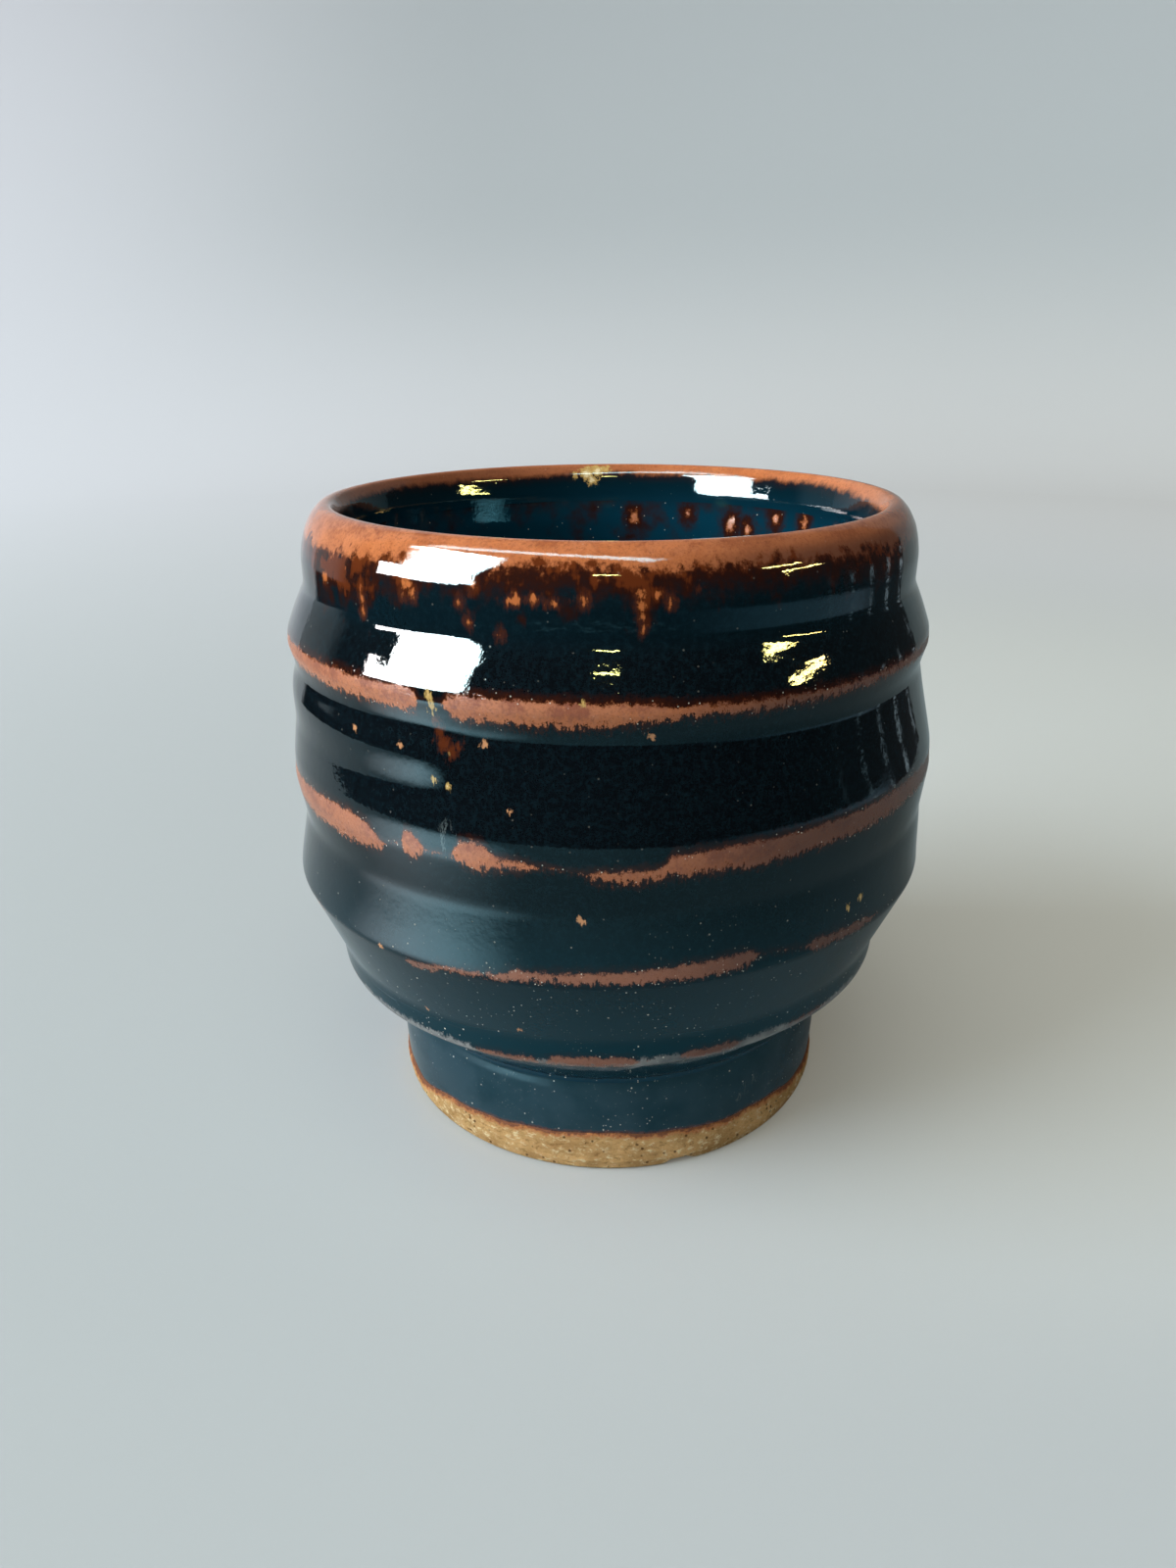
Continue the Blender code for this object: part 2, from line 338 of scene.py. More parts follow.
def note_rust(coat, height):
    """Keeps how far each point of a coat lies above and below the edges of the rust nearest to it."""
    lip = height - round_the_cup(degrees, LIP_RUST, 1)
    crest = int(np.argmax(height.mean(axis=1)))
    lip[crest:] -= INNER_LIFT
    note(coat, "lip_low", lip)
    fur = height - round_the_cup(degrees, LIP_FUR, 1)
    fur[crest:] = NO_FUR
    note(coat, "fur_low", fur)
    past_crest = (np.arange(len(height)) - crest) * ROW_GAP
    note(coat, "inside", np.repeat(ramp(past_crest, *INNER_START)[:, None], COLUMNS, axis=1))
    edges = [[round_the_cup(degrees, stations, k) for k in (1, 2)] for stations in RIDGE_RUSTS]
    nearest = np.argmin([np.abs(height - (bottom + upper) / 2) for bottom, upper in edges], axis=0)
    low = np.choose(nearest, [height - bottom for bottom, upper in edges])
    top = np.choose(nearest, [upper - height for bottom, upper in edges])
    bare = np.minimum(low, top) < -RUST_REACH
    note(coat, "ridge_low", np.where(bare, -RUST_REACH, low))
    note(coat, "ridge_top", np.where(bare, -RUST_REACH, top))


# Pieces

ROW_GAP = 0.32
COAT = 0.4
BACK_EVERY = 7

# The coat thins to a rolled edge on the foot, and is stretched below a height to reach the glaze line
EDGE_THIN = 0.9
EDGE_DROP = 0.28
STRETCH_TOP = FOOT_WALL[2][1] - 1.0
NOT_ON_FOOT = 9.0

# The poured coat: its points, its thickness, how far it runs on above the dipped one's end, and how far it
# draws back behind that one
LINER_GAP = 0.5
LINER_COAT = 0.45
LINER_BACK_EVERY = 6
LINER_START = 0.6
LINER_STEP = 0.05
LINER_STEP_REACH = 9.0

# Rings on the wall and a spiral on the floor: depth, pitch, and where they fade in and out
RING_DEPTH = 0.11
RING_PITCH = 6.2
RING_LOW = (24, 34)
RING_HIGH = (66, 78)
SPIRAL_DEPTH = 0.16
SPIRAL_PITCH = 5.2
SPIRAL_HIGH = (22, 26)
SPIRAL_MIDDLE = (3, 9)

outside_path = spaced(rounded(FOOT_WALL + WALL + LIP + INSIDE[:4]), ROW_GAP)
inner_start = int(np.argmax(outside_path[:, 1]))
wrap_end = inner_start + int(np.argmax(outside_path[inner_start:, 1] < COAT_END))
inside_corners = (LIP[1],) + INSIDE
liner_path = spaced(rounded(inside_corners), LINER_GAP)


def outer_coat():
    """The dipped coat, from its rolled edge on the foot up the wall, over the lip and a little way in."""
    line = glaze_line(degrees)
    face = outside_path[:wrap_end + 1]
    back = (face - COAT * outward(face))[::-BACK_EVERY]
    radius, height = spread(np.vstack((face, back)))
    skin = np.concatenate((np.ones(len(face)), np.zeros(len(back))))[:, None]
    on_foot = height < STRETCH_TOP
    longer = (STRETCH_TOP - line) / (STRETCH_TOP - FOOT_WALL[0][1])
    height = np.where(on_foot, STRETCH_TOP - (STRETCH_TOP - height) * longer, height)
    above = np.clip((height - line) / EDGE_THIN, 0, 1)
    thin = np.sqrt(1 - (1 - above) ** 2)
    radius = np.where(on_foot, radius - (1 - thin) * EDGE_DROP * skin, radius)
    radius, height = thrown(radius, height)
    coat = turned("outer_glaze_coat", radius, height)
    note_rust(coat, height)
    note(coat, "edge_height", np.where(on_foot, height - line, NOT_ON_FOOT))
    return coat


def liner():
    """The poured coat inside, down to the floor, with the rings and the spiral that the fingers left."""
    start = int(np.argmax(liner_path[:, 1] < COAT_END + LINER_START))
    face = liner_path[start:-1].copy()
    face[:, 0] += LINER_STEP * ramp(face[:, 1], COAT_END - LINER_STEP_REACH, COAT_END)
    back = (face - LINER_COAT * outward(face))[::-LINER_BACK_EVERY]
    radius, height = spread(np.vstack((back, face)))
    skin = np.concatenate((np.zeros(len(back)), np.ones(len(face))))[:, None]
    wall = skin * ramp(height, *RING_LOW) * (1 - ramp(height, *RING_HIGH))
    floor = skin * (1 - ramp(height, *SPIRAL_HIGH)) * ramp(radius, *SPIRAL_MIDDLE)
    ring = RING_DEPTH * np.sin(2 * math.pi * height / RING_PITCH + theta)
    spiral = SPIRAL_DEPTH * np.sin(2 * math.pi * radius / SPIRAL_PITCH - theta)
    radius, height = thrown(radius + wall * ring, height + floor * spiral)
    return turned("liner_glaze_coat", radius, height)


FOOT_COLUMNS = 720
foot_turn = np.linspace(-math.pi, math.pi, FOOT_COLUMNS, endpoint=False)
FOOT_UPPER = FOOT_TOP + 0.2
FOOT_OUTLINE = (
    (29.0, 0.0, 0),
    (32.6, 0.0, 0.7),
    (33.0, 1.6, 3.0),
    (32.75, 6.0, 8.0),
    (32.6, 13.0, 2.6),
    (31.0, FOOT_UPPER, 0.8),
    (25.6, FOOT_UPPER, 0.5),
    (25.9, 1.0, 3.0),
    (26.6, 0.0, 0.8),
    (29.0, 0.0, 0),
)
FOOT_GAP = 0.28
OUTER_FROM = 31.0

# How far the ring draws in under the glaze, and over what height below and above the glaze line
INSET = 0.38
INSET_REACH = (-0.15, 0.8)

# Sand and tool marks: the heights between which they grow, outside and inside, and fade at the glaze
BARE_LOW = (0.15, 0.6)
BARE_INNER = (0.2, 1.0)
BARE_HIGH = (-0.4, 0.3)
GRIT_SEED = 7
GRIT_OUTER = 0.05
GRIT_INNER = 0.03
TOOL_MARK = 0.035
TOOL_PITCH = 1.35

# A chip at the lower edge: the angles where it starts and ends, and its height and place
CHIP_START = (13.5, 16.0)
CHIP_END = (19.5, 22.5)
CHIP_HEIGHT = 0.55
CHIP_RADIUS = (31.2, 32.4)
CHIP_TOP = (0.3, 1.2)


def foot():
    """The bare turned ring that the cup stands on, sandy, with a chip at its lower edge."""
    angle = np.degrees(foot_turn)
    line = glaze_line(angle)
    radius, height = spread(spaced(rounded(FOOT_OUTLINE), FOOT_GAP)[:-1], FOOT_COLUMNS)
    outer = radius > OUTER_FROM
    radius = radius - outer * INSET * ramp(height - line, *INSET_REACH)
    grit = np.random.default_rng(GRIT_SEED).normal(size=radius.shape)
    for axis in (0, 1):
        grit = (np.roll(grit, 1, axis) + 2 * grit + np.roll(grit, -1, axis)) / 4
    bare = ramp(height, *BARE_LOW) * (1 - ramp(height - line, *BARE_HIGH))
    tool_marks = TOOL_MARK * np.sin(2 * math.pi * height / TOOL_PITCH + 2 * np.sin(foot_turn))
    outer_marks = bare * (GRIT_OUTER * grit + tool_marks)
    inner_marks = GRIT_INNER * grit * ramp(height, *BARE_INNER)
    radius = radius + np.where(outer, outer_marks, inner_marks)
    chip = ramp(angle, *CHIP_START) * (1 - ramp(angle, *CHIP_END))
    lift = chip * CHIP_HEIGHT * ramp(radius, *CHIP_RADIUS) * (1 - ramp(height, *CHIP_TOP))
    ring = turned("foot_ring_clay", radius, height + lift, foot_turn)
    note(ring, "below_glaze", np.where(outer, line - height, NOT_ON_FOOT))
    return ring


# How deep the clay lies under the two coats, where its points start and the gaps between them
UNDER_COAT = 0.75
UNDER_LINER = 0.8
RIM_STEP = 0.2
BOWL_START = FOOT_TOP - 4
BOWL_EVERY = 3
BOWL_GAP = 1.2
BASE_GAP = 0.35

# The underside: its height, its ends, how far it is crowned, and the depth and pitch of the turned spiral
BASE_HEIGHT = FOOT_TOP + 0.25
BASE_RADII = (0.4, 30.3)
BASE_CROWN = 0.9
CROWN_REACH = (24.5, 0)
TURNING_DEPTH = 0.09
TURNING_PITCH = 2.6
TURNING_START = (0.5, 3)
TURNING_END = (23, 25)


def bowl():
    """The thrown clay between the two coats, bare only on its underside in the recess of the foot."""
    outer = outside_path[outside_path[:, 1] > BOWL_START]
    face = outer[:int(np.argmax(outer[:, 1]))][::BOWL_EVERY]
    face = face[face[:, 1] > NECK_HEIGHT]
    wall = (face - UNDER_COAT * outward(face))[1:]
    inner = spaced(rounded(inside_corners), BOWL_GAP)
    inner = (inner - UNDER_LINER * outward(inner))[:-1]
    inner = inner[inner[:, 1] < wall[-1, 1] - RIM_STEP]
    under = spaced(np.array([(end, BASE_HEIGHT) for end in BASE_RADII]), BASE_GAP)
    radius, height = spread(np.vstack((under, wall, inner)))
    below = np.concatenate((np.ones(len(under)), np.zeros(len(wall) + len(inner))))[:, None]
    crown = BASE_CROWN * ramp(radius, *CROWN_REACH)
    spiral = TURNING_DEPTH * np.sin(2 * math.pi * radius / TURNING_PITCH + theta)
    spiral = spiral * ramp(radius, *TURNING_START) * (1 - ramp(radius, *TURNING_END))
    radius, height = thrown(radius, height)
    return turned("clay_body_bowl", radius, height + (crown + spiral) * below)


# Finishes

class Value:
    """A shader socket that Python can reckon with: each step adds a Math node."""

    def __init__(self, finish, socket):
        self.finish = finish
        self.socket = socket

    def reckon(self, operation, *others):
        values = dict(enumerate((self,) + others))
        return self.finish.add("ShaderNodeMath", {"operation": operation}, values)

    def __add__(self, other):
        return self.reckon("ADD", other)

    def __sub__(self, other):
        return self.reckon("SUBTRACT", other)

    def __mul__(self, other):
        return self.reckon("MULTIPLY", other)

    def __rsub__(self, other):
        return self.finish.add("ShaderNodeMath", {"operation": "SUBTRACT"}, {0: other, 1: self})

    __radd__ = __add__
    __rmul__ = __mul__

    def least(self, other):
        return self.reckon("MINIMUM", other)

    def most(self, other):
        return self.reckon("MAXIMUM", other)

    def ramp(self, start, end):
        """0 at start, 1 at end, and smooth between them."""
        ends = {"Value": self, "From Min": start, "From Max": end}
        return self.finish.add("ShaderNodeMapRange", {"interpolation_type": "SMOOTHSTEP"}, ends)


class Finish:
    """A material made of nodes round one Principled shader."""

    def __init__(self, name, **constants):
        self.material = bpy.data.materials.new(name)
        self.material.use_nodes = True
        self.tree = self.material.node_tree
        self.shader = self.tree.nodes["Principled BSDF"]
        for socket, value in constants.items():
            self.shader.inputs[socket.replace("_", " ")].default_value = value
        spots = self.add("ShaderNodeTexCoord", {}, {}, "Object")
        self.place = self.add("ShaderNodeVectorMath", {"operation": "SCALE"}, {0: spots, "Scale": 1 / MM})

    def add(self, kind, settings, values, output=0):
        """A node with its settings, then its sockets' values or links. Gives one of its outputs."""
        node = self.tree.nodes.new(kind)
        for name, setting in settings.items():
            setattr(node, name, setting)
        for socket, value in values.items():
            if isinstance(value, Value):
                self.tree.links.new(value.socket, node.inputs[socket])
            else:
                node.inputs[socket].default_value = value
        return Value(self, node.outputs[output])

    def feed(self, **links):
        """Links values to the shader's own sockets."""
        for socket, value in links.items():
            self.tree.links.new(value.socket, self.shader.inputs[socket.replace("_", " ")])

    def read(self, name):
        return self.add("ShaderNodeAttribute", {"attribute_name": name}, {}, "Fac")

    def axis(self, letter):
        return self.add("ShaderNodeSeparateXYZ", {}, {0: self.place}, letter)

    def round_angle(self):
        """The angle round the cup, in radians."""
        return self.axis("X").reckon("ARCTAN2", -1 * self.axis("Y"))

    def away(self, spot, place=None):
        """How far a point is from a spot."""
        ends = {0: place or self.place, 1: spot}
        return self.add("ShaderNodeVectorMath", {"operation": "DISTANCE"}, ends, "Value")

    def ray(self, kind):
        return self.add("ShaderNodeLightPath", {}, {}, kind)

    def stretched(self, x, y, z):
        return self.add("ShaderNodeVectorMath", {"operation": "MULTIPLY"}, {0: self.place, 1: (x, y, z)})

    def clouds(self, per_mm, detail=2.0, place=None, rough=0.5):
        """Soft noise about zero, mostly within a quarter either way."""
        values = {"Vector": place or self.place, "Scale": per_mm, "Detail": detail, "Roughness": rough}
        return self.add("ShaderNodeTexNoise", {}, values, 0) - 0.5

    def grains(self, per_mm, share, size):
        """Round specks: 1 inside the share of cells that hold one."""
        values = {"Vector": self.place, "Scale": per_mm}
        away = self.add("ShaderNodeTexVoronoi", {}, values, "Distance")
        tint = self.add("ShaderNodeTexVoronoi", {}, values, "Color")
        pick = self.add("ShaderNodeSeparateColor", {}, {0: tint}, 0)
        return (1 - pick.ramp(share, share + 0.02)) * (1 - away.ramp(size * 0.6, size))

    def blend(self, share, first, second):
        """A colour between two, by a value from 0 to 1."""
        first, second = [c if isinstance(c, Value) else (*c, 1.0) for c in (first, second)]
        return self.add("ShaderNodeMix", {"data_type": "RGBA"}, {0: share, 6: first, 7: second}, 2)

    def near(self, spots, upright):
        """How deep a point lies in the nearest spot of (centre, radius), with heights times upright."""
        place = self.stretched(1, 1, upright)
        depths = [radius - self.away((x, y, z * upright), place) for (x, y, z), radius in spots]
        deepest = depths[0]
        for depth in depths[1:]:
            deepest = deepest.most(depth)
        return deepest

    def relief(self, height):
        """A bump whose height is in millimetres."""
        values = {"Height": height, "Strength": 1.0, "Distance": MM}
        self.feed(Normal=self.add("ShaderNodeBump", {}, values))


GLAZE_BLACK = (0.0030, 0.0048, 0.0068)
GLAZE_MIST = (0.0060, 0.0170, 0.0240)
GLAZE_TEAL = (0.0030, 0.0260, 0.0400)
FOOT_TEAL = (0.0260, 0.0570, 0.0780)
GLAZE_BROWN = (0.027, 0.0080, 0.0052)
GLAZE_AMBER = (0.120, 0.027, 0.0080)
LINER_TEAL = (0.0022, 0.0350, 0.0640)
LINER_DARK = (0.0018, 0.0140, 0.0230)
RUST_PINK = (0.510, 0.186, 0.088)
RUST_BROWN = (0.310, 0.098, 0.052)
RUST_ORANGE = (0.540, 0.175, 0.062)
LIP_RED = (0.655, 0.230, 0.098)
LIP_BROWN = (0.360, 0.105, 0.042)
RUST_MAUVE = (0.200, 0.098, 0.072)
# Painted shade, laid over the rust on the right
RUST_PAINTED_SHADE = (0.075, 0.036, 0.030)
RUST_CREST = (0.200, 0.060, 0.028)
RUN_ORANGE = (0.520, 0.160, 0.050)
FLECK_TAN = (0.55, 0.27, 0.13)
GLINT_GOLD = (0.55, 0.36, 0.12)
GLINT_PALE = (0.88, 0.74, 0.46)
WISP_GREY = (0.085, 0.105, 0.110)
PAINTED_SHEEN_GREY = (0.290, 0.285, 0.280)
GLAZE_SHINE = (0.35, 0.85, 1.0, 1.0)
GLAZE_DENSITY = 1.38
GLAZE_EDGE = (0.130, 0.058, 0.052)
ASH_AND_GLINT = (0.74, 0.70, 0.60)

# Heights between which the finish changes on its way up
FOOT_JOIN = (12.0, 17.0)
SHEEN_TOP = (24.5, 26.5)
LOW_WALL = (26.0, 50.0)
VEIL_RISE = (34.0, 62.0)
MAUVE_RISE = (36.0, 62.0)
LIP_RISE = (74.0, 79.0)
COLLAR_SHEEN_RISE = (75.5, 79.5)
LINER_RISE = (79.0, 86.0)
CREST_RISE = (85.5, 87.5)

# Angles in radians between which painted shade darkens the rust on the right, and clears again
SHADE_START = (0.03, 0.52)
SHADE_END = (1.1, 1.7)

# How thin the glaze lies from where the rust starts to where it is full
RUST_EDGE = (-0.25, 0.45)

# Orange runs under the lip: angle, height, radius
LIP_RUNS = (
    (-54.2, 81.5, 0.5), (-42.55, 81.4, 0.28), (-42.4, 80.3, 0.42), (-42.25, 79.0, 0.36),
    (-32.0, 83.9, 0.4), (-32.6, 82.9, 0.5), (-31.0, 81.9, 0.42), (-32.9, 81.6, 0.25),
    (-22.6, 81.5, 0.24), (-20.3, 83.4, 0.3), (-21.1, 79.6, 0.26), (-16, 78.4, 0.2), (-3.5, 82.4, 0.35),
    (4.8, 83.0, 0.42), (4.8, 81.8, 0.4), (4.85, 80.6, 0.34), (5, 79.4, 0.22), (9, 82.1, 0.3),
)

# Orange clouds between them: angle, height, radius
LIP_CLOUDS = (
    (-54, 81.6, 1.0), (-32, 82.8, 0.8), (-14.2, 82.1, 0.9), (-11.0, 82.4, 0.9), (-7.6, 82.0, 1.0),
    (-5.2, 82.3, 0.7), (7.4, 82.9, 0.8), (9.6, 82.3, 0.7), (13.3, 83.3, 0.7),
)

# The brown run below the notch in the highest ridge: angle, height, radius
NOTCH_RUN = (
    (-25.8, 68.6, 0.6), (-25.2, 67.2, 0.7), (-24.4, 66.0, 0.8), (-23.2, 65.2, 0.8), (-22.2, 66.0, 0.5),
)

# Painted glints of gold beside the notch in the highest ridge and below it: angle, height, radius
PAINTED_GOLD_GLINTS = (
    (-26.3, 71.6, 0.4), (-26.0, 70.4, 0.45), (-26.2, 69.4, 0.3), (-23.6, 64.9, 0.16),
    (-26.0, 61.9, 0.2), (-23.8, 61.3, 0.2), (-3.5, 71.9, 0.2), (40.5, 42.2, 0.3), (43.5, 42.9, 0.26),
)

# Painted gold glints inside the lip behind: angle, height, radius
PAINTED_INSIDE_GLINTS = (
    (-179.5, 87.2, 0.6), (-177, 86.9, 1.0), (-174, 86.7, 1.1), (-175.5, 85.6, 0.9), (-171, 86.2, 0.6),
)

# Faint milky wisps in the glaze: angle, height, radius
WISPS = (
    (-24, 56.2, 0.9), (-24.4, 54.4, 0.8), (-21.5, 55.4, 0.7), (36, 9.6, 0.9), (38.5, 10.2, 0.8),
    (34, 8.4, 0.7),
)

# Where pale specks of ash and painted glints lie thickest: angle, height, radius
ASH_FALLS = ((9, 30.0, 4.5), (15, 28.5, 3.5), (-12, 46.5, 2.5))

# Small pits and flecks on the wall: angle, height, radius
FLECKS = (
    (-42, 65.5, 0.38), (-18, 66.5, 0.45), (6, 68.0, 0.34), (-4, 46.5, 0.42), (-34, 28.0, 0.3),
    (-15, 29.0, 0.24), (-38, 38.2, 0.34), (-32, 65.1, 0.25), (-14, 59.3, 0.26),
)

# Orange spots inside, on the wall behind: angle, height, radius
LINER_SPOTS = (
    (145, 79.1, 0.75), (131, 80.7, 0.5), (121, 81, 0.55), (173, 79.5, 0.6), (158, 80.4, 0.35),
    (140, 78.4, 0.4),
)


def round_the_axis(radius, angle, height):
    turn = math.radians(angle)
    return (radius * math.sin(turn), -radius * math.cos(turn), height)


def on_liner(angle, height):
    """The point of the inner wall at an angle and a height."""
    radius = liner_path[int(np.argmin(np.abs(liner_path[:, 1] - height))), 0]
    return round_the_axis(radius, angle, height)


def on_wall(angle, height):
    """The point of the outer wall at an angle and a height."""
    wall = outside_path[:inner_start]
    radius, height = thrown(np.interp(height, wall[:, 1], wall[:, 0]), height, math.radians(angle))
    return round_the_axis(radius, angle, height)


def scattered(f, spots, upright, ragged, place_on=on_wall):
    """How deep a point lies in the ragged spots of a table of angles, heights and radii on a wall."""
    return f.near([(place_on(angle, height), radius) for angle, height, radius in spots], upright) + ragged


def rust_colour(f, low, tall, inside):
    """Colour of bare iron: red on the lip, duller down the wall, with painted shade on the right and
    inside on the left, and dark crumbs.
    """
    mottle = f.clouds(0.35, 2.0) + 0.9 * f.clouds(1.7, 5.0, rough=0.7)
    rust = f.blend(mottle.ramp(-0.17, 0.12), RUST_BROWN, RUST_PINK)
    rust = f.blend(tall.ramp(*LIP_RISE), rust, f.blend(mottle.ramp(-0.22, 0.18), LIP_BROWN, LIP_RED))
    rust = f.blend((1 - low.ramp(0.3, 1.7)) * 0.8, rust, RUST_ORANGE)
    rust = f.blend((1 - tall.ramp(*MAUVE_RISE)) * 0.80, rust, RUST_MAUVE)
    # Painted shade: the rust is darkened on the right of the front, less towards the crest, and inside the
    # lip on the left
    right = f.round_angle()
    painted_shade = right.ramp(*SHADE_START) * (1 - right.ramp(*SHADE_END))
    painted_shade = painted_shade * (1 - inside) * (1 - 0.55 * tall.ramp(*CREST_RISE))
    painted_shade = 0.78 * painted_shade + 0.6 * inside * (1 - f.axis("X").ramp(-30.0, 25.0))
    rust = f.blend(painted_shade, rust, RUST_PAINTED_SHADE)
    return f.blend(f.clouds(3.0, 5.0, rough=0.75).ramp(-0.02, 0.18) * 0.6, rust, RUST_CREST)


def iron_break(f, thin, low, fur, body):
    """Colour of the glaze by how thin it lies and how far it is above its lower edge."""
    tall = f.axis("Z")
    inside = f.read("inside")
    veil = thin.most(fur) - 1.2 * inside
    seen = 0.25 + 0.75 * tall.ramp(*VEIL_RISE)
    colour = f.blend(veil.ramp(-2.2, -0.4) * seen, body, GLAZE_BROWN)
    colour = f.blend(veil.ramp(-0.6, 0.5) * seen, colour, GLAZE_AMBER)
    return f.blend(thin.ramp(*RUST_EDGE), colour, rust_colour(f, low, tall, inside))


def fur_below_lip(f):
    """Hare's fur: fine runs that thin out below the lip."""
    hairs = f.clouds(1.1, 5.0, f.stretched(1, 1, 0.14), rough=0.62)
    blots = f.clouds(0.42, 3.0)
    return 4.2 * hairs + 7.0 * blots + 0.5 * f.read("fur_low").least(5.0) - 2.2


def glassy(f, rough_spots, pits):
    """Gloss of the glaze, with the small waves that tear its reflections."""
    fine = f.clouds(5.0, 3.0)
    f.feed(Roughness=0.028 + rough_spots * 0.28 + rough_spots * fine * 0.2)
    peel = f.clouds(0.45, 2.0) * 0.018 + f.clouds(1.5, 3.0) * 0.0095
    f.relief(peel + rough_spots * fine * 0.04 - pits * 0.03)


def poured_body(f):
    """Colour of the thick glaze inside, darker towards the lip."""
    return f.blend(f.axis("Z").ramp(*LINER_RISE), LINER_TEAL, LINER_DARK)


def dipped_body(f, low_down, inside):
    """Colour of the thick glaze outside: black, bluer low down and on the foot, with a painted teal sheen
    on the collar.
    """
    tall = f.axis("Z")
    black = f.blend(f.clouds(1.6, 6.0, rough=0.8).ramp(-0.08, 0.22) * 0.8, GLAZE_BLACK, GLAZE_MIST)
    # The collar's share of teal is a painted sheen
    body = f.blend(low_down.most(0.28 * tall.ramp(*COLLAR_SHEEN_RISE)), black, GLAZE_TEAL)
    body = f.blend((1 - tall.ramp(*FOOT_JOIN)) * (0.80 + 2.6 * f.clouds(0.14, 4.0)), body, FOOT_TEAL)
    return f.blend(inside, body, poured_body(f))


def add_runs(f, colour, lip, comb, ragged, drips):
    """Runs and clouds of orange under the lip, its darker crest, and the brown run below the notch."""
    runs = scattered(f, LIP_RUNS, 0.7, 1.2 * comb + 1.6 * ragged)
    runs = runs.most(scattered(f, LIP_CLOUDS, 1.3, 1.6 * comb + 5.0 * drips - 0.40))
    colour = f.blend(runs.ramp(-0.8, 0.1) * 0.55, colour, GLAZE_AMBER)
    colour = f.blend(runs.ramp(-0.05, 0.35), colour, RUN_ORANGE)
    colour = f.blend(lip.ramp(0.8, 1.9) * 0.3, colour, RUST_CREST)
    notch = scattered(f, NOTCH_RUN, 0.7, 2.4 * comb + 2.0 * ragged)
    return f.blend(notch.ramp(-0.3, 0.6) * 0.8, colour, GLAZE_AMBER)


def add_flecks(f, colour, comb, ragged):
    """Tan pits, painted gold glints and milky wisps."""
    flecks = scattered(f, FLECKS, 1.0, 1.6 * comb + 1.6 * ragged)
    colour = f.blend(flecks.ramp(-0.10, 0.15), colour, FLECK_TAN)
    # Painted glints: gold with pale centres, where the glaze would catch a lamp
    gold_glints = scattered(f, PAINTED_GOLD_GLINTS, 0.8, 2.2 * comb + 1.8 * ragged)
    gold_glints = gold_glints.most(scattered(f, PAINTED_INSIDE_GLINTS, 0.8, 3.0 * ragged, on_liner))
    colour = f.blend(gold_glints.ramp(-0.10, 0.20), colour, GLINT_GOLD)
    colour = f.blend(gold_glints.ramp(0.35, 0.90), colour, GLINT_PALE)
    hairs = 1 - f.clouds(0.8, 4.0, f.stretched(1, 1, 0.3), rough=0.6).reckon("ABSOLUTE").ramp(0.0, 0.035)
    wisps = scattered(f, WISPS, 0.6, 2.0 * ragged).ramp(-0.1, 0.5) * hairs
    return f.blend(wisps, colour, WISP_GREY)


def tenmoku():
    """Glossy black iron glaze, rust brown where it thins, with runs below the lip and pale specks, partly
    ash and pits, partly painted glints.
    """
    f = Finish("tenmoku", IOR=GLAZE_DENSITY, Specular_Tint=GLAZE_SHINE)
    comb = f.clouds(3.2, 4.0, f.stretched(1, 1, 0.22), rough=0.65)
    ragged = f.clouds(1.1, 6.0, rough=0.68)
    broad = f.clouds(0.28, 2.0)
    drips = f.clouds(0.55, 4.0, f.stretched(1, 1, 0.35), rough=0.6)
    crumbs = f.clouds(5.5, 3.0, rough=0.7)
    inside = f.read("inside")
    tall = f.axis("Z")
    low_down = 1 - tall.ramp(*LOW_WALL)
    torn = 0.4 * comb + 2.6 * ragged + 2.4 * drips + 1.2 * broad
    lip = 0.62 * f.read("lip_low") + (1 - 0.7 * inside) * torn
    ridge_low = f.read("ridge_low") + (3.0 - 1.8 * low_down) * comb
    ridge_low = ridge_low + 3.0 * ragged + 0.8 * broad + 0.8 * crumbs
    ridge_top = f.read("ridge_top") + 2.0 * ragged + 1.0 * crumbs
    ridge = 1.8 * ridge_low.least(ridge_top)
    body = dipped_body(f, low_down, inside)
    colour = iron_break(f, lip.most(ridge), (0.8 * lip).most(ridge_low), fur_below_lip(f), body)
    colour = add_runs(f, colour, lip, comb, ragged, drips)
    # Painted reflection: a grey band just below the rust of the lowest ridge, standing for the bright
    # floor mirrored there
    under = ridge_low.ramp(-2.6, -1.4) * (1 - ridge_low.ramp(-0.2, 0.6)) * (1 - tall.ramp(*SHEEN_TOP))
    colour = f.blend(under * (0.70 + 1.6 * broad), colour, PAINTED_SHEEN_GREY)
    foot_edge = 1 - (f.read("edge_height") + 1.8 * ragged).ramp(0.2, 1.0)
    colour = f.blend(foot_edge, colour, GLAZE_EDGE)
    crowd = f.clouds(0.10, 2.0).ramp(0.0, 0.16)
    crowd = crowd.most(scattered(f, ASH_FALLS, 1.3, 6.0 * broad).ramp(0.0, 3.0))
    rim = ridge.ramp(-2.0, -0.4) * (1 - ridge.ramp(0.2, 1.4))
    # Pale specks stand partly for ash and pits and partly for painted glints off pinholes; those along the
    # rust's edges are painted glints
    ash_and_glints = (f.grains(1.9, 0.014, 0.27) * (0.10 + 0.90 * low_down)).most(f.grains(2.6, 0.10, 0.26) * rim)
    dust = f.grains(3.0, 0.07, 0.32) * low_down * (0.08 + 0.92 * crowd)
    colour = f.blend((ash_and_glints + dust * 0.9).least(0.95), colour, ASH_AND_GLINT)
    f.feed(Base_Color=add_flecks(f, colour, comb, ragged))
    dull = ridge.ramp(*RUST_EDGE).most(foot_edge).most(0.12 * lip.ramp(*RUST_EDGE))
    glassy(f, dull, ash_and_glints)
    return f.material


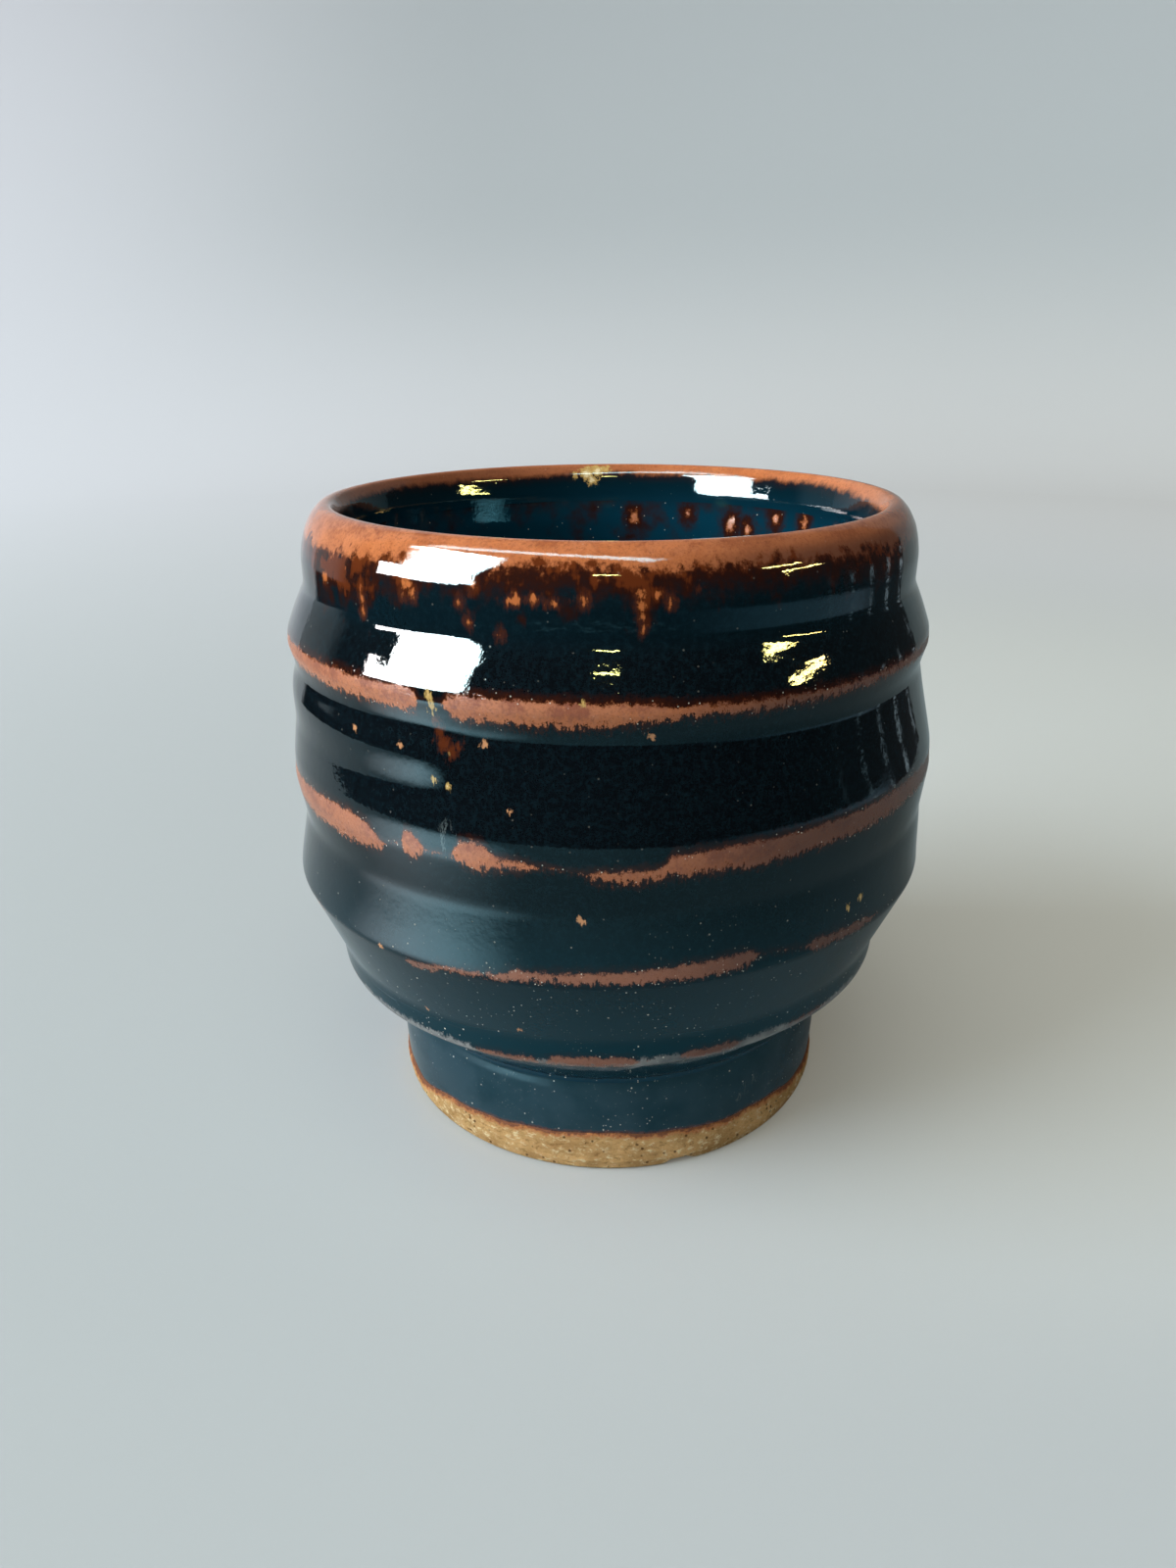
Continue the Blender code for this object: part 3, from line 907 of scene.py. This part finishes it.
def tenmoku_liner():
    """The same glaze where it was poured inside, thicker and bluer, with a few orange spots."""
    f = Finish("tenmoku_liner", IOR=GLAZE_DENSITY, Specular_Tint=GLAZE_SHINE)
    thin = scattered(f, LINER_SPOTS, 0.7, 3.0 * f.clouds(0.9, 5.0, rough=0.66), on_liner)
    blots = 5.0 * f.clouds(0.3, 4.0) - 1.9
    colour = iron_break(f, thin, thin, blots, poured_body(f))
    # Pale specks: partly ash and pits, partly painted glints
    ash_and_glints = f.grains(2.3, 0.02, 0.24)
    f.feed(Base_Color=f.blend(ash_and_glints * 0.7, colour, ASH_AND_GLINT))
    glassy(f, thin.ramp(*RUST_EDGE), ash_and_glints)
    return f.material


CLAY_BUFF = (0.820, 0.510, 0.225)
CLAY_LIGHT = (0.980, 0.840, 0.520)
CLAY_BROWN = (0.420, 0.220, 0.080)
CLAY_DARK = (0.110, 0.046, 0.016)
CLAY_FLUSH = (0.620, 0.240, 0.095)


def bare_clay(name, flush):
    """Sandy buff stoneware, with pale and brown grains, flushed orange beside the glaze."""
    f = Finish(name, Specular_IOR_Level=0.0)
    broad = f.clouds(0.22, 3.0)
    sand = f.clouds(0.95, 5.0, f.stretched(1, 1, 1.6), rough=0.72)
    colour = f.blend(broad.ramp(-0.2, 0.2) * 0.6, CLAY_BUFF, CLAY_BROWN)
    colour = f.blend(sand.ramp(0.02, 0.16) * 0.9, colour, CLAY_LIGHT)
    colour = f.blend((1 - sand.ramp(-0.18, -0.05)) * 0.9, colour, CLAY_BROWN)
    colour = f.blend(f.grains(1.3, 0.16, 0.36) * 0.85, colour, CLAY_DARK)
    if flush:
        beside = f.read("below_glaze") + 2.2 * f.clouds(0.9, 4.0, rough=0.65)
        colour = f.blend((1 - beside.ramp(0.15, 0.8)) * 0.9, colour, CLAY_FLUSH)
        colour = f.blend((1 - beside.ramp(-0.05, 0.2)) * 0.7, colour, GLAZE_EDGE)
    f.feed(Base_Color=colour, Roughness=0.80 + sand * 0.25)
    f.relief(sand * 0.85 + f.clouds(4.0, 2.0) * 0.08 + broad * 0.10)
    return f.material


DRESSED = (
    (outer_coat(), "outer_glaze", "tenmoku", tenmoku()),
    (liner(), "liner_glaze", "tenmoku_liner", tenmoku_liner()),
    (foot(), "foot_ring", "foot_clay", bare_clay("foot_clay", True)),
    (bowl(), "clay_body", "stoneware", bare_clay("stoneware", False)),
)
for piece, node, slot, material in DRESSED:
    piece.data.materials.append(material)
    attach(piece, "root")
    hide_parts(node)


# Studio

FLOOR_COLOUR = (0.440, 0.490, 0.524)
WALL_GLOW = (0.340, 0.335, 0.385)
WALL_WARM = (0.340, 0.315, 0.290)
NEAR_GLOW = (0.155, 0.145, 0.115)
NEAR_PLACE = (90.0, 120.0, 0.0)
ROOM_SHADE = (0.100, 0.170, 0.190)
POOL_GLOW = (6.20, 5.40, 5.50)
POOL_PLACE = (-142.0, -106.0, 0.0)
MIDDLE = (0.0, 0.0, 0.0)
UNLIT = (0.0, 0.0, 0.0)
DULL = {"Roughness": 0.9, "Specular_IOR_Level": 0.0, "Emission_Strength": 1.0}


def pale_floor():
    """Plain pale floor and backdrop. Its far part glows a little for the lens and the gloss, with painted
    light and shade near the cup and in its reflections.
    """
    f = Finish("floor", **DULL)
    x, y, z = [f.axis(letter) for letter in "XYZ"]
    lens, gloss, glass = [f.ray("Is %s Ray" % kind) for kind in ("Camera", "Glossy", "Transmission")]
    away = f.away(MIDDLE)
    # Painted light and shade: the backdrop's glow is brighter to the left and darker up towards the right
    left = 1 - x.ramp(-900.0, 700.0)
    painted_shade = z.ramp(-20.0, 260.0) * x.ramp(-700.0, -100.0)
    far = lens.most(gloss * (0.5 + 1.2 * left)).most(glass) * (away + 220 * (1 - left)).ramp(-50.0, 950.0)
    amount = far * (0.66 + 0.34 * left * left) * (1 - 0.75 * painted_shade)
    light = f.blend(amount, UNLIT, f.blend(left, WALL_WARM, WALL_GLOW))
    # Painted light: a warm glow on the floor to the right of the cup lightens its shadow for the lens
    beside = (1 - f.away(NEAR_PLACE).ramp(100.0, 330.0)) * y.ramp(-80.0, -25.0) * x.ramp(-50.0, 60.0)
    light = f.blend(lens.most(glass) * beside, light, NEAR_GLOW)
    # Painted light: a pool that glows on the floor to the front left, seen only in the gloss
    pool = 1 - f.away(POOL_PLACE).ramp(10.0, 105.0)
    # Painted shade on the floor, seen only in the gloss: darker near the cup and to the right
    close = (1 - away.ramp(60.0, 150.0)) * (0.35 + 0.35 * x.ramp(-60.0, 20.0))
    shaded = (0.75 * x.ramp(-60.0, 140.0)).most(close)
    f.feed(Base_Color=f.blend(gloss * shaded, FLOOR_COLOUR, ROOM_SHADE))
    f.feed(Emission_Color=f.blend(gloss * pool, light, POOL_GLOW))
    return f.material


CARD_BLACK = (0.003, 0.003, 0.003, 1.0)
CARD_GREY = (0.44, 0.47, 0.49)
CARD_SHEEN = (0.60, 0.76, 0.90)
BLIND_GLOW = (1.00, 1.20, 1.30)
BLINDS_PER_RADIAN = 0.57 * math.degrees(1)


def dark_room():
    """Painted reflection of the room, seen only in the gloss: near black in front of the cup, greyer
    towards both ends of the card, with a painted sheen and glowing blinds at the right.
    """
    f = Finish("shade", Base_Color=CARD_BLACK, **DULL)
    z = f.axis("Z")
    turn = f.round_angle()
    angle = turn * math.degrees(1)
    open_end = 1 - angle.ramp(-127.0, -125.0)
    open_wall = (1 - angle.ramp(-110.0, -100.0)) * z.ramp(6.0, 30.0)
    ends = open_end.most(open_wall).most(0.09 * angle.ramp(40.0, 85.0))
    shade = f.blend(ends, UNLIT, CARD_GREY)
    sheen = angle.ramp(15.0, 60.0) * (1 - angle.ramp(92.0, 106.0))
    sheen = sheen * (1 - f.away(MIDDLE).ramp(340.0, 440.0))
    shade = f.blend(sheen * 0.65, shade, CARD_SHEEN)
    slats = (turn * BLINDS_PER_RADIAN).reckon("SINE").ramp(0.84, 0.99)
    blinds = slats * angle.ramp(78.0, 84.0) * (1 - z.ramp(70.0, 130.0))
    blinds = blinds * f.clouds(0.03, 3.0).ramp(-0.08, 0.12)
    f.feed(Emission_Color=f.blend(blinds, shade, BLIND_GLOW))
    return f.material


def stage_ring(name, path, first, last, columns, material):
    """A sheet of the studio: a path of (radius, height) swept from one angle to another, or all round."""
    closed = last - first == 360
    turn = np.radians(np.linspace(first, last, columns, endpoint=not closed))
    points = [(r * math.sin(a), -r * math.cos(a), z) for r, z in path for a in turn]
    faces = []
    for row in range(len(path) - 1):
        for column in range(columns if closed else columns - 1):
            a = row * columns + column
            b = row * columns + (column + 1) % columns
            faces.append((a, b, b + columns, a + columns))
    mesh = bpy.data.meshes.new(name)
    mesh.from_pydata(points, [], faces)
    mesh.shade_smooth()
    mesh.materials.append(material)
    sheet = bpy.data.objects.new(name, mesh)
    scene.collection.objects.link(sheet)
    return sheet


FLOOR_REACH = 0.75
FLOOR_SWEEP = 0.45
FLOOR_COLUMNS = 144
WALL_TOP = 1.1
WALL_REACH = FLOOR_REACH + FLOOR_SWEEP
floor_path = [(0.001, 0.0), (0.2, 0.0), (FLOOR_REACH, 0.0)]
sweep = [(FLOOR_REACH + FLOOR_SWEEP * math.sin(a), FLOOR_SWEEP * (1 - math.cos(a)))
         for a in np.radians(np.linspace(0, 90, 24))]
pale = pale_floor()
stage_ring("floor", floor_path, 0, 360, FLOOR_COLUMNS, pale)
backdrop = stage_ring("backdrop", [*sweep, (WALL_REACH, WALL_TOP)], 0, 360, FLOOR_COLUMNS, pale)
backdrop.visible_diffuse = False
backdrop.visible_shadow = False

# Only the gloss sees this card, which stands for the unlit room in front of the cup
CARD_ENDS = (-128, 126)
CARD_COLUMNS = 76
CARD_PATH = ((0.27, 0.003), (0.66, 0.003), (0.66, 1.0))
shade = stage_ring("shade", CARD_PATH, *CARD_ENDS, CARD_COLUMNS, dark_room())
shade.visible_camera = False
shade.visible_diffuse = False
shade.visible_shadow = False
shade.visible_transmission = False

# A flat light's power is spread over four times its area
AREA_SHARE = 4
AIM = Vector((0, 0, 0.06))


def area_light(name, angle, lift, width, height, radiance, colour, distance):
    """A flat light of a set brightness that faces the cup, from an angle round it and a lift above it."""
    data = bpy.data.lights.new(name, "AREA")
    data.shape = "RECTANGLE"
    data.size = width
    data.size_y = height
    data.energy = AREA_SHARE * width * height * radiance
    data.color = colour
    lamp = bpy.data.objects.new(name, data)
    turn, rise = math.radians(angle), math.radians(lift)
    way = Vector((math.sin(turn) * math.cos(rise), -math.cos(turn) * math.cos(rise), math.sin(rise)))
    lamp.location = AIM + way * distance
    lamp.rotation_mode = "QUATERNION"
    lamp.rotation_quaternion = (-way).to_track_quat("-Z", "Y")
    scene.collection.objects.link(lamp)
    return lamp


# The window, the lamps and the sky, which show in the gloss alone: name, angle, lift, width, height,
# brightness and colour
WINDOW_WHITE = (1.0, 0.60, 0.54)
LAMP_GOLD = (1.0, 0.41, 0.11)
SKY_WHITE = (1.0, 0.80, 0.76)
GLINT_DISTANCE = 0.6
GLINTS = (
    ("window", -62, 29.0, 0.31, 0.36, 95.0, WINDOW_WHITE),
    ("window_foot", -69, 14.0, 0.36, 0.08, 95.0, WINDOW_WHITE),
    ("window_head", -68, 42.0, 0.30, 0.07, 95.0, WINDOW_WHITE),
    ("lamp_low", 70, 16.8, 0.16, 0.012, 240.0, LAMP_GOLD),
    ("lamp_high", 64, 25.5, 0.15, 0.018, 240.0, LAMP_GOLD),
    ("lamp_front", -1, 29.5, 0.070, 0.016, 300.0, LAMP_GOLD),
    ("skylight", -34, 62.0, 0.80, 0.08, 24.0, SKY_WHITE),
)
for glint in GLINTS:
    area_light(*glint, GLINT_DISTANCE).visible_diffuse = False

# The soft lights light the rest and stay out of the gloss: the same, then distance
SOFT_BLUE = (0.88, 0.96, 1.0)
SOFT_GOLD = (1.0, 0.95, 0.80)
SOFT_LIGHTS = (
    ("soft", -72, 30, 1.6, 1.6, 6.6, SOFT_BLUE, 2.4),
    ("overhead", -30, 66, 1.7, 1.7, 1.5, SOFT_GOLD, 1.6),
)
for light in SOFT_LIGHTS:
    area_light(*light).visible_glossy = False

ROOM_LIGHT = (1.0, 0.97, 0.90, 1.0)
ROOM_STRENGTH = 0.13
world = bpy.data.worlds.new("studio")
world.use_nodes = True
room = world.node_tree.nodes["Background"]
room.inputs["Color"].default_value = ROOM_LIGHT
room.inputs["Strength"].default_value = ROOM_STRENGTH
scene.world = world
scene.view_settings.view_transform = "Standard"
